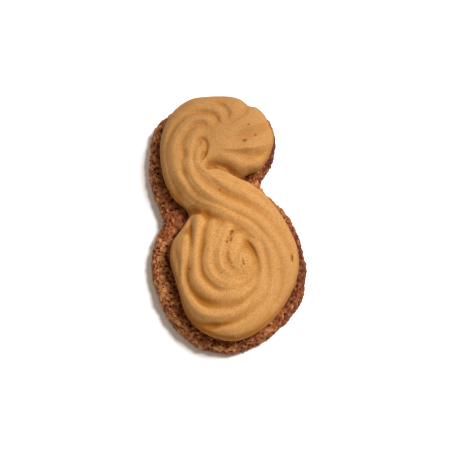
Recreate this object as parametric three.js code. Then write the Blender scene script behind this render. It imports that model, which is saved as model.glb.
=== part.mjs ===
// S-shaped piped biscuit: a ribbed swirl of cream on a coarse brown biscuit slab.
//
// Frame: +Z up, the flat underside rests on Z = 0, the long axis lies along Y and
// the origin is under the middle of the part.  All sizes are millimetres.
//
// The swirl is one rope from a star nozzle.  It starts under its own diagonal, runs
// down the left of the lower lobe, round the bottom and up the right, crosses the
// waist over its own start, climbs the left of the upper lobe and ends in a fan.
// Its surface is a height over the plan: a rounded shoulder inside the plan edge,
// lowered where the rope laps over its start and in the deep fold under the free end,
// then ribs along the rope, finer grooves and burst bubbles.

import * as THREE from 'three';

// ---- heights ----
const SLAB_HEIGHT = 6.5;          // top of the biscuit slab
const BOND_GAP = 0.3;             // clearance between slab and swirl
const SWIRL_FOOT = SLAB_HEIGHT + BOND_GAP;
const WIDEST_LEVEL = 10.2;        // where the swirl is widest
const SHOULDER_RISE = 6.4;        // from the widest level to the crown
const CROWN_BULGE = 0.8;          // extra height well inside the edge
const FOOT_UNDERCUT = 1.3;        // how far the swirl draws in at its foot

// ---- shoulder ----
const SHOULDER_WIDTH = 9.0;
const NOTCHES = [                 // the shoulder is tighter beside the two notches
  { x: 7.0, y: 11.8, reach: 9.0, tighter: 5.8 },
  { x: -10.6, y: 1.2, reach: 7.0, tighter: 3.5 },
];

// ---- plan of the swirl at its widest level, counterclockwise from the bottom ----
const SWIRL_EDGE = [
  [-1.5, -39.5], [3.8, -38.7], [9.4, -35.7], [14.3, -31.0], [18.3, -25.2], [20.6, -19.2],
  [20.9, -13.0], [19.3, -6.7], [16.7, -0.3], [13.2, 5.2], [9.2, 9.1], [6.3, 11.5],
  [8.8, 13.3], [12.9, 14.6], [16.2, 18.7], [18.0, 22.8], [18.2, 26.0], [17.2, 29.4],
  [16.4, 32.0], [14.3, 34.7], [12.0, 35.6], [9.6, 38.1], [5.6, 39.8], [0.0, 40.4],
  [-6.0, 40.1], [-11.3, 37.0], [-14.8, 32.3], [-16.8, 26.5], [-17.3, 20.0], [-16.6, 13.3],
  [-14.5, 7.6], [-11.3, 3.7], [-10.4, 0.9], [-12.6, -3.0], [-16.1, -7.4], [-17.3, -12.5],
  [-16.5, -18.0], [-15.5, -23.5], [-14.4, -29.3], [-11.6, -34.2], [-7.2, -37.6],
];

// ---- plan of the biscuit slab, counterclockwise from the bottom ----
const SLAB_EDGE = [
  [-0.5, -41.1], [5.3, -39.7], [10.5, -36.8], [16.0, -32.6], [20.6, -27.3], [22.9, -20.0],
  [23.2, -12.0], [21.6, -3.4], [18.3, 3.3], [14.2, 8.5], [12.7, 12.4], [14.9, 15.9],
  [17.9, 20.9], [19.1, 27.2], [18.6, 32.0], [15.8, 36.3], [11.5, 38.9], [7.0, 40.4],
  [0.0, 41.1], [-7.0, 40.8], [-13.7, 38.6], [-17.6, 35.6], [-19.6, 30.0], [-20.8, 23.0],
  [-21.0, 15.0], [-19.6, 9.3], [-18.2, 2.5], [-20.6, -2.0], [-22.8, -8.5], [-23.2, -14.0],
  [-21.9, -21.1], [-19.5, -28.4], [-16.0, -34.0], [-11.0, -38.4], [-5.8, -40.5],
];

// ---- middle line between the two lobes, from the lower to the upper ----
const SPINE_LOW = [3.5, -18.5];
const SPINE_HIGH = [0.0, 24.0];

// ---- ribs: distance of each rib from the eye of the lobe, outermost rib first ----
const LOWER_EYE = [3.7, -17.9];
const UPPER_EYE = [-3.0, 20.0];
const NONE = null;
const RIB_SECTIONS = [
  { eye: LOWER_EYE, bearing: 96, at: [NONE, NONE, NONE, NONE, NONE, NONE, NONE, 7.6] },
  { eye: LOWER_EYE, bearing: 105, at: [NONE, NONE, NONE, NONE, NONE, NONE, 12.0, 6.0] },
  { eye: LOWER_EYE, bearing: 118, at: [NONE, NONE, NONE, NONE, 21.4, 15.4, 9.6, 4.8] },
  { eye: LOWER_EYE, bearing: 132, at: [NONE, NONE, NONE, NONE, 17.6, 12.2, 8.2, 4.0] },
  { eye: LOWER_EYE, bearing: 150, at: [NONE, NONE, NONE, 19.0, 15.0, 10.5, 7.0, 3.3] },
  { eye: LOWER_EYE, bearing: 172, at: [NONE, NONE, NONE, 17.8, 14.2, 10.1, 6.5, 2.9] },
  { eye: LOWER_EYE, bearing: 195, at: [NONE, NONE, NONE, 19.0, 14.6, 9.7, 6.1, 2.7] },
  { eye: LOWER_EYE, bearing: 225, at: [NONE, NONE, 23.4, 19.8, 13.3, 8.6, 5.3, 2.9] },
  { eye: LOWER_EYE, bearing: 255, at: [NONE, NONE, 20.7, 16.3, 10.3, 7.0, 5.2, 3.2] },
  { eye: LOWER_EYE, bearing: 285, at: [NONE, 18.3, 15.7, 11.7, 7.6, 5.1, 4.0, 2.9] },
  { eye: LOWER_EYE, bearing: 315, at: [17.2, 15.7, 12.0, 8.0, 5.3, 3.7, 3.0, 2.3] },
  { eye: LOWER_EYE, bearing: 345, at: [16.1, 14.0, 9.5, 6.5, 4.1, 3.0, NONE, NONE] },
  { eye: LOWER_EYE, bearing: 15, at: [16.7, 12.7, 8.7, 6.1, 3.6, NONE, NONE, NONE] },
  { eye: LOWER_EYE, bearing: 45, at: [18.4, 12.8, 9.3, 6.8, NONE, NONE, NONE, NONE] },
  { eye: LOWER_EYE, bearing: 75, at: [21.0, 15.6, 11.9, 8.5, NONE, NONE, NONE, NONE] },
  { eye: UPPER_EYE, bearing: 275, at: [10.1, 17.2, 21.2, NONE] },
  { eye: UPPER_EYE, bearing: 250, at: [6.8, 11.9, 16.7, NONE] },
  { eye: UPPER_EYE, bearing: 225, at: [4.4, 8.2, 13.5, NONE] },
  { eye: UPPER_EYE, bearing: 200, at: [3.2, 6.2, 11.6, NONE] },
  { eye: UPPER_EYE, bearing: 170, at: [2.6, 5.5, 11.0, NONE] },
  { eye: UPPER_EYE, bearing: 140, at: [2.3, 5.8, 10.5, NONE] },
  { eye: UPPER_EYE, bearing: 110, at: [NONE, 6.5, 11.1, NONE] },
  { eye: UPPER_EYE, bearing: 80, at: [NONE, 6.4, 10.3, NONE] },
  { eye: UPPER_EYE, bearing: 60, at: [NONE, NONE, 9.4, NONE] },
];
const RIB_COUNT = 8;
const FIRST_TUCKED_RIB = 3;       // ribs from here on start under the crossing rope
const FIRST_INNER_RIB = 4;        // ribs from here on die out near the lower eye
const TOP_RIB = [
  [204, 15.0], [190, 14.8], [170, 14.4], [140, 14.5], [110, 15.2], [84, 15.4],
  [62, 13.9], [50, 12.4],
];
const RIB_DEPTH = 1.5;            // deepest drop between two ribs
const RIB_RADIUS = { eye: 0.7, outer: 1.7, from: 3.0, to: 11.0 };
const RIB_STRENGTH = { eye: 0.34, outer: 0.8, from: 5.0, to: 14.0 };
const RIB_END = 5.0;
const INNER_RIB_END = 12.0;
const RIB_BLEND = 0.16;
const BROAD_RIB = { x: -13.5, y: -19.0, rx: 5.0, ry: 14.0, more: 1.1 };

// ---- lap: the line along which the rope crosses over its own start ----
const LAP_LINE = [
  [-14.5, 4.4], [-11.0, 2.4], [-9.2, 1.4], [-7.2, 0.4], [-5.3, -1.0], [-3.2, -2.7], [-0.9, -4.4],
  [1.5, -5.6], [3.4, -7.4], [4.9, -9.6], [5.9, -11.8], [7.0, -14.2], [8.1, -17.2], [8.6, -20.2],
];
const LAP_DROP = [
  [0, 4.6], [6, 4.2], [9, 2.7], [12, 1.2], [16, 0.55], [20, 0.4],
  [24, 0.4], [28, 0.6], [31, 0.5], [34, 0.3], [37, 0.0],
];
const LAP_WIDTH = { rope: 3.9, start: 1.4, beyond: 2.6 };
const LAP_FADE = { from: 7.0, to: 15.0 };
const LAP_LINE_DEPTH = 0.3;
const LAP_LINE_WIDTH = 0.7;

// ---- fold: the deep valley under the free end ----
const FOLD_LINE = [
  [8.0, 10.9], [6.7, 11.2], [4.6, 12.1], [2.4, 13.4], [0.4, 14.3], [-1.3, 14.7], [-3.1, 14.2],
];
const FOLD_DEPTH = [[0, 6.0], [2, 5.4], [5, 4.4], [8, 3.6], [10.2, 3.2], [11.5, 2.8], [12.4, 0.6]];
const FOLD_WIDTH = { end: 1.9, rope: 1.1 };
const LIP = { line: [[2.6, 13.0], [1.3, 13.7], [0.0, 14.2], [-1.1, 14.4]], height: 0.8, width: 0.8 };

// ---- where the fold and the lap run out, the widest line dips ----
const MOUTHS = [
  { x: 6.6, y: 11.5, reach: 2.4, dip: 3.0 },
  { x: -10.6, y: 1.1, reach: 2.0, dip: 2.2 },
];

// ---- where the ribs are wiped out or pressed deeper ----
const RIB_PATCHES = [
  { x: 4.5, y: 22.5, rx: 6.0, ry: 5.5, change: -1.0 },
  { x: -2.6, y: -9.2, rx: 3.6, ry: 4.8, change: -1.0 },
  { x: -9.0, y: -20.0, rx: 9.0, ry: 17.0, change: 0.45 },
  { x: -1.0, y: -33.0, rx: 13.0, ry: 7.0, change: 0.3 },
  { x: -14.5, y: 19.0, rx: 4.0, ry: 12.0, change: -0.45 },
];
const FREE_END = { x0: 3.0, x1: 9.0, y0: 14.0, y1: 17.0 };

// ---- grooves: line, depth, width to the left and right of the line, run-in, run-out ----
const GROOVES = [
  { line: [
    [19.2, 28.2], [15.6, 26.6], [12.7, 24.8], [9.5, 23.4], [6.4, 22.4], [3.0, 21.0],
  ], depth: 1.15, left: 1.8, right: 1.4, runIn: 0.5, runOut: 8.0 },
  { line: [
    [19.4, 20.6], [16.6, 19.3], [13.6, 18.0], [10.6, 17.4], [7.6, 17.5], [4.4, 18.1], [1.0, 18.9],
  ], depth: 1.75, left: 2.6, right: 1.2, runIn: 0.5, runOut: 9.0 },
  { line: [
    [-0.6, 36.9], [1.8, 36.0], [3.2, 34.7], [4.2, 33.1], [4.7, 31.6], [4.6, 30.2],
  ], depth: 0.85, left: 0.9, right: 1.6, runIn: 4.5, runOut: 1.5 },
  { line: [
    [-8.6, 32.6], [-5.6, 32.8], [-3.2, 32.6], [-1.3, 31.9], [0.1, 30.9], [1.2, 29.8], [1.7, 28.9],
  ], depth: 0.85, left: 0.9, right: 1.6, runIn: 7.0, runOut: 1.2 },
  { line: [
    [-8.9, 25.2], [-7.6, 27.3], [-5.9, 28.2], [-3.7, 28.4], [-1.5, 27.8],
  ], depth: 0.5, left: 0.8, right: 1.4, runIn: 5.0, runOut: 1.5 },
  { line: [
    [-5.5, 21.6], [-4.8, 22.8], [-4.0, 23.4], [-3.2, 22.7], [-2.9, 21.2], [-3.3, 19.4], [-4.3, 17.6],
    [-5.6, 15.5], [-6.7, 13.4],
  ], depth: 0.55, left: 0.9, right: 1.2, runIn: 1.2, runOut: 3.0 },
  { line: [
    [-3.4, 19.4], [-4.2, 17.9], [-5.1, 16.2],
  ], depth: 0.65, left: 0.9, right: 0.8, runIn: 1.2, runOut: 1.2 },
  { line: [
    [-15.0, -10.6], [-15.2, -12.6], [-15.0, -14.8], [-15.1, -18.3], [-15.6, -22.0],
  ], depth: 0.4, left: 0.9, right: 0.9, runIn: 1.5, runOut: 2.5 },
  { line: [
    [-8.0, 32.4], [-11.0, 30.6], [-13.3, 27.2], [-14.6, 23.0], [-15.0, 19.0], [-14.6, 14.5], [-13.6, 10.5],
    [-12.8, 9.2],
  ], depth: 0.3, left: 1.3, right: 1.1, runIn: 8.0, runOut: 7.0 },
  { line: [
    [-16.6, 14.5], [-15.2, 11.0], [-13.6, 7.6], [-12.0, 5.0],
  ], depth: 1.8, left: 1.9, right: 3.0, runIn: 5.0, runOut: 3.5 },
  { line: [
    [-4.4, 12.4], [-3.1, 10.2], [-1.4, 8.0], [1.1, 5.7], [4.5, 3.5],
  ], depth: 0.24, left: 0.6, right: 1.2, runIn: 1.0, runOut: 6.0 },
  { line: [
    [17.6, 20.4], [15.0, 17.0], [12.3, 15.2], [9.0, 14.2],
  ], depth: 0.9, left: 1.2, right: 2.8, runIn: 2.0, runOut: 2.0 },
  { line: [
    [9.2, -8.6], [10.7, -12.6], [11.2, -17.2], [10.9, -21.6], [9.6, -26.0],
  ], depth: 0.22, left: 1.0, right: 0.8, runIn: 4.0, runOut: 5.0 },
  { line: [
    [0.5, -40.2], [5.0, -39.3], [9.8, -36.6], [14.4, -32.0], [17.8, -26.6],
  ], depth: 1.1, left: 2.4, right: 1.0, runIn: 3.0, runOut: 4.0 },
  { line: [
    [-16.0, -26.0], [-15.1, -29.0], [-13.5, -31.8], [-11.2, -34.2], [-8.0, -35.8], [-4.6, -35.9],
  ], depth: 2.7, left: 1.3, right: 1.5, runIn: 1.0, runOut: 4.0 },
  { line: [
    [-9.0, -35.6], [-5.6, -35.8], [-2.4, -35.3], [0.6, -34.3], [3.3, -32.8], [5.4, -30.9], [7.4, -28.6],
    [9.2, -26.4],
  ], depth: 0.8, left: 1.3, right: 1.2, runIn: 4.0, runOut: 9.0 },
  { line: [
    [-10.2, -0.6], [-10.3, -4.0], [-10.4, -8.0], [-10.9, -11.5], [-11.7, -14.5],
  ], depth: 0.6, left: 0.8, right: 0.8, runIn: 1.0, runOut: 5.0 },
  { line: [
    [-11.3, -12.5], [-12.2, -16.0], [-12.9, -19.2], [-13.0, -22.0], [-12.1, -25.0], [-9.9, -27.6],
    [-7.0, -28.9], [-3.6, -29.3], [-0.2, -28.8], [3.4, -27.4],
  ], depth: 0.72, left: 1.8, right: 1.1, runIn: 6.0, runOut: 14.0 },
  { line: [
    [5.2, -10.4], [6.5, -12.4], [7.5, -14.3], [8.2, -16.5], [8.6, -19.3], [8.4, -22.0], [7.4, -25.0],
  ], depth: 0.58, left: 0.5, right: 1.2, runIn: 3.0, runOut: 12.0 },
];

// ---- dents and burst bubbles wide enough for this solid ----
const DENTS = [
  { x: 8.5, y: 21.5, rx: 0.68, ry: 0.5, turn: 10, depth: 0.95 },
  { x: -9.9, y: 18.8, rx: 0.95, ry: 1.7, turn: 0, depth: 0.52 },
  { x: -10.8, y: 12.9, rx: 1.1, ry: 1.8, turn: 20, depth: 0.28 },
];
const EYE_MOUND = { height: 0.35, radius: 2.2 };

// ---- biscuit rim, from the underside up and in: inset from the plan edge and height ----
const RIM_PROFILE = [
  [1.1, 0.0], [0.4, 0.5], [0.0, 1.7], [0.1, 3.3], [0.5, 4.7], [1.2, 5.6], [2.3, 6.1], [3.6, 6.3], [5.2, 6.35],
];
const SLAB_SHELF = { inset: 7.0, height: 6.4 };
const CRUMB_SCALE = 2.6;          // spacing of the lumps in the rim
const CRUMB_OUT = 0.45;           // how far the lumps push the side in and out
const CRUMB_UP = 0.40;            // how far they push the top up and down

// ---- mesh density ----
const SWIRL_FAN = 44;             // edge points round each lobe's end
const SWIRL_SIDE = 56;            // edge points along each side of the spine
const SWIRL_RINGS = 29;
const HALVE_AT = [17, 24];        // rings at which the count round the ring is halved
const RING_CROWDING = 1.35;       // above 1 crowds the rings toward the edge
const UNDERCUT_STEPS = 3;
const SLAB_AROUND = 168;

// ---- small maths ----
function smooth(from, to, v) {
  const t = Math.min(1, Math.max(0, (v - from) / (to - from)));
  return t * t * (3 - 2 * t);
}

function ramp(table, v) {
  if (v <= table[0][0]) return table[0][1];
  for (let i = 1; i < table.length; i += 1) {
    const [x0, y0] = table[i - 1];
    const [x1, y1] = table[i];
    if (v <= x1) return y0 + ((y1 - y0) * (v - x0)) / (x1 - x0);
  }
  return table[table.length - 1][1];
}

// Uniform Catmull-Rom curve through the points; `steps` chords to each span.
function curve(points, closed, steps) {
  const n = points.length;
  const pick = (i) => {
    if (closed) return points[(i + n) % n];
    if (i < 0) return [2 * points[0][0] - points[1][0], 2 * points[0][1] - points[1][1]];
    if (i >= n) {
      return [2 * points[n - 1][0] - points[n - 2][0], 2 * points[n - 1][1] - points[n - 2][1]];
    }
    return points[i];
  };
  const out = [];
  const spans = closed ? n : n - 1;
  for (let i = 0; i < spans; i += 1) {
    const [a, b, c, d] = [pick(i - 1), pick(i), pick(i + 1), pick(i + 2)];
    for (let s = 0; s < steps; s += 1) {
      const t = s / steps;
      out.push([0, 1].map((k) => 0.5 * (2 * b[k] + (c[k] - a[k]) * t
        + (2 * a[k] - 5 * b[k] + 4 * c[k] - d[k]) * t * t
        + (3 * b[k] - a[k] - 3 * c[k] + d[k]) * t * t * t)));
    }
  }
  if (!closed) out.push([...points[n - 1]]);
  return out;
}

function chords(path, closed) {
  const list = [];
  let start = 0;
  const spans = closed ? path.length : path.length - 1;
  for (let i = 0; i < spans; i += 1) {
    const [ax, ay] = path[i];
    const [bx, by] = path[(i + 1) % path.length];
    const length = Math.hypot(bx - ax, by - ay);
    list.push({ ax, ay, ux: bx - ax, uy: by - ay, length, start });
    start += length;
  }
  return { list, length: start };
}

// Visits every chord with the squared distance, the arc position and the side.
function scan(line, x, y, visit) {
  for (const c of line.list) {
    const px = x - c.ax;
    const py = y - c.ay;
    const t = Math.min(1, Math.max(0, (px * c.ux + py * c.uy) / Math.max(c.length * c.length, 1e-12)));
    const dx = px - t * c.ux;
    const dy = py - t * c.uy;
    visit(dx * dx + dy * dy, c.start + t * c.length, c.ux * py - c.uy * px);
  }
}

function nearest(line, x, y) {
  const best = { d2: Infinity, arc: 0, side: 0 };
  scan(line, x, y, (d2, arc, side) => {
    if (d2 < best.d2) {
      best.d2 = d2;
      best.arc = arc;
      best.side = side;
    }
  });
  return { distance: Math.sqrt(best.d2), arc: best.arc, side: best.side };
}

function pointAt(path, line, arc) {
  const wanted = Math.min(line.length, Math.max(0, arc));
  const c = line.list.find((k) => wanted <= k.start + k.length) ?? line.list[line.list.length - 1];
  const t = (wanted - c.start) / c.length;
  return [c.ax + t * c.ux, c.ay + t * c.uy];
}

function evenly(path, count) {
  const line = chords(path, true);
  return Array.from({ length: count }, (_, i) => pointAt(path, line, (line.length * i) / count));
}

function fromEye(eye, bearing, radius) {
  const a = THREE.MathUtils.degToRad(bearing);
  return [eye[0] + radius * Math.cos(a), eye[1] + radius * Math.sin(a)];
}

// Repeatable lumpiness between -1 and 1 on a cubic lattice.
function lump(x, y, z) {
  const corner = (i, j, k) => {
    const s = Math.sin(i * 12.9898 + j * 78.233 + k * 37.719) * 43758.5453;
    return (s - Math.floor(s)) * 2 - 1;
  };
  const [i, j, k] = [Math.floor(x), Math.floor(y), Math.floor(z)];
  const [u, v, w] = [x - i, y - j, z - k].map((t) => t * t * (3 - 2 * t));
  const mix = THREE.MathUtils.lerp;
  const row = (b, c) => mix(corner(i, b, c), corner(i + 1, b, c), u);
  return mix(mix(row(j, k), row(j + 1, k), v), mix(row(j, k + 1), row(j + 1, k + 1), v), w);
}

// ---- lines used by the surface ----
const swirlEdge = curve(SWIRL_EDGE, true, 8);
const swirlEdgeLine = chords(swirlEdge, true);
const lapLine = chords(curve(LAP_LINE, false, 4), false);
const foldLine = chords(curve(FOLD_LINE, false, 4), false);
const lip = { chords: chords(curve(LIP.line, false, 4), false), left: LIP.width, right: LIP.width,
  runIn: 1.2, runOut: 1.0, depth: LIP.height };
const grooves = GROOVES.map((g) => ({ ...g, chords: chords(curve(g.line, false, 5), false) }));

function ribLines() {
  const ribs = [];
  for (let k = 0; k < RIB_COUNT; k += 1) {
    const run = RIB_SECTIONS
      .filter((s) => k < s.at.length && s.at[k] !== NONE)
      .map((s) => fromEye(s.eye, s.bearing, s.at[k]));
    const tucked = k >= FIRST_TUCKED_RIB;
    const inner = k >= FIRST_INNER_RIB;
    ribs.push({ line: chords(curve(run, false, 5), false), runIn: tucked ? 0 : RIB_END,
      runOut: inner ? INNER_RIB_END : RIB_END });
  }
  const top = TOP_RIB.map(([bearing, radius]) => fromEye(UPPER_EYE, bearing, radius));
  ribs.push({ line: chords(curve(top, false, 5), false), runIn: RIB_END, runOut: RIB_END });
  return ribs;
}
const ribs = ribLines();

// Height lost beside the ribs: each rib is a rounded ridge, the highest one shows.
function ribRelief(x, y, radius) {
  const drops = ribs.map((rib) => {
    let best = -2 * RIB_DEPTH;
    scan(rib.line, x, y, (d2, arc) => {
      const started = rib.runIn > 0 ? smooth(0, rib.runIn, arc) : 1;
      const strength = started * smooth(0, rib.runOut, rib.line.length - arc);
      const side = RIB_DEPTH * (1 - Math.exp(-d2 / (2 * radius * RIB_DEPTH)));
      best = Math.max(best, -side - (1 - strength) * RIB_DEPTH);
    });
    return best;
  });
  const top = Math.max(...drops);
  const sum = drops.reduce((s, v) => s + Math.exp((v - top) / RIB_BLEND), 0);
  return Math.max(-RIB_DEPTH, top + RIB_BLEND * Math.log(sum));
}

function grooveDepth(g, x, y) {
  let best = 0;
  scan(g.chords, x, y, (d2, arc, side) => {
    const strength = smooth(0, g.runIn, arc) * smooth(0, g.runOut, g.chords.length - arc);
    const width = side > 0 ? g.left : g.right;
    best = Math.max(best, strength * Math.exp(-d2 / (width * width)));
  });
  return best * g.depth;
}

function lapDrop(x, y) {
  const n = nearest(lapLine, x, y);
  const flank = 1 - smooth(LAP_FADE.from, LAP_FADE.to, n.arc);
  const side = n.side > 0 ? LAP_WIDTH.rope : LAP_WIDTH.start;
  const width = LAP_WIDTH.beyond + flank * (side - LAP_WIDTH.beyond);
  const broad = ramp(LAP_DROP, n.arc) * Math.exp(-((n.distance / width) ** 2));
  const crisp = LAP_LINE_DEPTH * flank * Math.exp(-n.distance / LAP_LINE_WIDTH);
  return broad + crisp;
}

function foldDrop(x, y) {
  const n = nearest(foldLine, x, y);
  const width = n.side < 0 ? FOLD_WIDTH.end : FOLD_WIDTH.rope;
  const steepness = n.side < 0 ? 2 : 4;
  return ramp(FOLD_DEPTH, n.arc) * Math.exp(-((n.distance / width) ** steepness)) - grooveDepth(lip, x, y);
}

// Level of the swirl's widest line.
function rimLevel(x, y) {
  let level = WIDEST_LEVEL;
  for (const m of MOUTHS) {
    level -= m.dip * Math.exp(-(((x - m.x) ** 2 + (y - m.y) ** 2) / m.reach ** 2));
  }
  return level;
}

function bell(p, x, y) {
  return Math.exp(-((((x - p.x) / p.rx) ** 2 + ((y - p.y) / p.ry) ** 2) ** 2));
}

// Height of the swirl's skin over the plan point.
function swirlHeight(x, y) {
  const inside = nearest(swirlEdgeLine, x, y).distance;
  let shoulder = SHOULDER_WIDTH;
  for (const n of NOTCHES) {
    shoulder -= n.tighter * Math.exp(-(((x - n.x) ** 2 + (y - n.y) ** 2) / n.reach ** 2));
  }
  const across = 1 - Math.min(1, inside / shoulder);
  const rise = SHOULDER_RISE + CROWN_BULGE * smooth(4, 18, inside) - lapDrop(x, y) - foldDrop(x, y);
  const level = rimLevel(x, y);
  let z = level + Math.max(rise + WIDEST_LEVEL - level, 0.3) * Math.sqrt(Math.max(0, 1 - across * across));

  const fromLowerEye = Math.hypot(x - LOWER_EYE[0], y - LOWER_EYE[1]);
  const freeEnd = smooth(FREE_END.x0, FREE_END.x1, x) * smooth(FREE_END.y0, FREE_END.y1, y);
  let ribbed = (1 - freeEnd) * (0.25 + 0.75 * smooth(0, 2.5, inside));
  for (const p of RIB_PATCHES) ribbed *= 1 + p.change * bell(p, x, y);
  const mixStrength = smooth(RIB_STRENGTH.from, RIB_STRENGTH.to, fromLowerEye);
  const mixRadius = smooth(RIB_RADIUS.from, RIB_RADIUS.to, fromLowerEye);
  const strength = RIB_STRENGTH.eye + (RIB_STRENGTH.outer - RIB_STRENGTH.eye) * mixStrength;
  const radius = RIB_RADIUS.eye + (RIB_RADIUS.outer - RIB_RADIUS.eye) * mixRadius
    + BROAD_RIB.more * bell(BROAD_RIB, x, y);
  z += ribRelief(x, y, radius) * ribbed * strength;

  for (const g of grooves) {
    z -= grooveDepth(g, x, y) * (0.3 + 0.7 * smooth(0, 3, inside));
  }
  for (const d of DENTS) {
    const a = THREE.MathUtils.degToRad(d.turn);
    const u = ((x - d.x) * Math.cos(a) + (y - d.y) * Math.sin(a)) / d.rx;
    const v = ((y - d.y) * Math.cos(a) - (x - d.x) * Math.sin(a)) / d.ry;
    z -= d.depth * Math.exp(-((u * u + v * v) ** 1.4));
  }
  z += EYE_MOUND.height * Math.exp(-((fromLowerEye / EYE_MOUND.radius) ** 2));
  return Math.max(z, level + 0.05 * smooth(0, 0.5, inside));
}

// ---- solids from rings ----
// Edge points and their partners on the spine: a fan round each lobe's end, and
// stations along both sides.  Each side is shared out by its own length below and
// above its notch, so the spokes lean away from the notch and never cross.
function framework(path, fan, side) {
  const line = chords(path, true);
  const [sx, sy] = [SPINE_HIGH[0] - SPINE_LOW[0], SPINE_HIGH[1] - SPINE_LOW[1]];
  const share = (x, y) => ((x - SPINE_LOW[0]) * sx + (y - SPINE_LOW[1]) * sy) / (sx * sx + sy * sy);
  const arcAt = (t, rising) => {
    for (const c of line.list) {
      const t0 = share(c.ax, c.ay);
      const t1 = share(c.ax + c.ux, c.ay + c.uy);
      const crosses = rising ? t0 <= t && t < t1 : t1 <= t && t < t0;
      if (crosses) return c.start + (c.length * (t - t0)) / (t1 - t0);
    }
    return 0;
  };
  const sideTable = (notch, rising) => [
    [0, arcAt(0, rising)],
    [share(notch.x, notch.y), nearest(line, notch.x, notch.y).arc],
    [1, arcAt(1, rising)],
  ];
  const right = sideTable(NOTCHES[0], true);
  const left = sideTable(NOTCHES[1], false);
  const fine = 400;
  const need = [0];
  for (let i = 1; i <= fine; i += 1) {
    const [t0, t1] = [(i - 1) / fine, i / fine];
    const step = Math.max(ramp(right, t1) - ramp(right, t0), ramp(left, t0) - ramp(left, t1));
    need.push(need[i - 1] + step);
  }
  const stations = Array.from({ length: side + 1 }, (_, k) => {
    const wanted = (need[fine] * k) / side;
    const i = Math.max(1, need.findIndex((v) => v >= wanted - 1e-9));
    return (i - 1 + (wanted - need[i - 1]) / (need[i] - need[i - 1])) / fine;
  });
  const spokes = [];
  const add = (arc, t) => spokes.push({
    edge: pointAt(path, line, arc % line.length),
    spine: [SPINE_LOW[0] + sx * t, SPINE_LOW[1] + sy * t],
  });
  const [leftLow, rightLow] = [ramp(left, 0), ramp(right, 0) + line.length];
  for (let i = 0; i < fan; i += 1) add(leftLow + ((rightLow - leftLow) * i) / fan, 0);
  for (let k = 0; k < side; k += 1) add(ramp(right, stations[k]), stations[k]);
  const [rightHigh, leftHigh] = [ramp(right, 1), ramp(left, 1)];
  for (let i = 0; i < fan; i += 1) add(rightHigh + ((leftHigh - rightHigh) * i) / fan, 1);
  for (let k = side; k > 0; k -= 1) add(ramp(left, stations[k]), stations[k]);
  return spokes;
}

// Closes a stack of rings, each of the same count as the last or of half of it.  The
// last ring closes on the points of `seam`, one for each ring point, or is capped flat.
function solidFromRings(rings, seam, name, color, roughness) {
  const positions = [];
  const starts = [];
  for (const ring of rings) {
    starts.push(positions.length / 3);
    for (const p of ring) positions.push(...p);
  }
  const faces = [];
  for (let r = 0; r + 1 < rings.length; r += 1) {
    const [a, b] = [starts[r], starts[r + 1]];
    const [n, m] = [rings[r].length, rings[r + 1].length];
    for (let i = 0; i < m; i += 1) {
      const j = (i + 1) % m;
      if (n === m) {
        faces.push([a + i, a + j, b + j], [a + i, b + j, b + i]);
      } else {
        const [f0, f1, f2] = [2 * i, 2 * i + 1, (2 * i + 2) % n];
        faces.push([a + f0, a + f1, b + i], [a + f1, b + j, b + i], [a + f1, a + f2, b + j]);
      }
    }
  }
  const cap = (ring, start, flip) => {
    const outline = ring.map(([x, y]) => new THREE.Vector2(x, y));
    for (const [p, q, s] of THREE.ShapeUtils.triangulateShape(outline, [])) {
      faces.push(flip ? [start + p, start + s, start + q] : [start + p, start + q, start + s]);
    }
  };
  cap(rings[0], starts[0], true);
  const last = starts[starts.length - 1];
  if (seam) {
    const known = new Map();
    const seamIndex = seam.map((p) => {
      const key = p.map((v) => v.toFixed(4)).join();
      if (!known.has(key)) {
        known.set(key, positions.length / 3);
        positions.push(...p);
      }
      return known.get(key);
    });
    for (let i = 0; i < seam.length; i += 1) {
      const j = (i + 1) % seam.length;
      const [p, q] = [seamIndex[i], seamIndex[j]];
      faces.push([last + i, last + j, q]);
      if (p !== q) faces.push([last + i, q, p]);
    }
  } else {
    cap(rings[rings.length - 1], last, false);
  }

  const geometry = new THREE.BufferGeometry();
  geometry.setAttribute('position', new THREE.Float32BufferAttribute(positions, 3));
  geometry.setIndex(faces.flat());
  geometry.computeVertexNormals();
  const material = new THREE.MeshStandardMaterial({ color, roughness, metalness: 0 });
  const mesh = new THREE.Mesh(geometry, material);
  mesh.name = name;
  return mesh;
}

function inwardNormals(edge) {
  return edge.map((_, i) => {
    const [x0, y0] = edge[(i + edge.length - 1) % edge.length];
    const [x1, y1] = edge[(i + 1) % edge.length];
    const length = Math.hypot(x1 - x0, y1 - y0);
    return [-(y1 - y0) / length, (x1 - x0) / length];
  });
}

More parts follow.
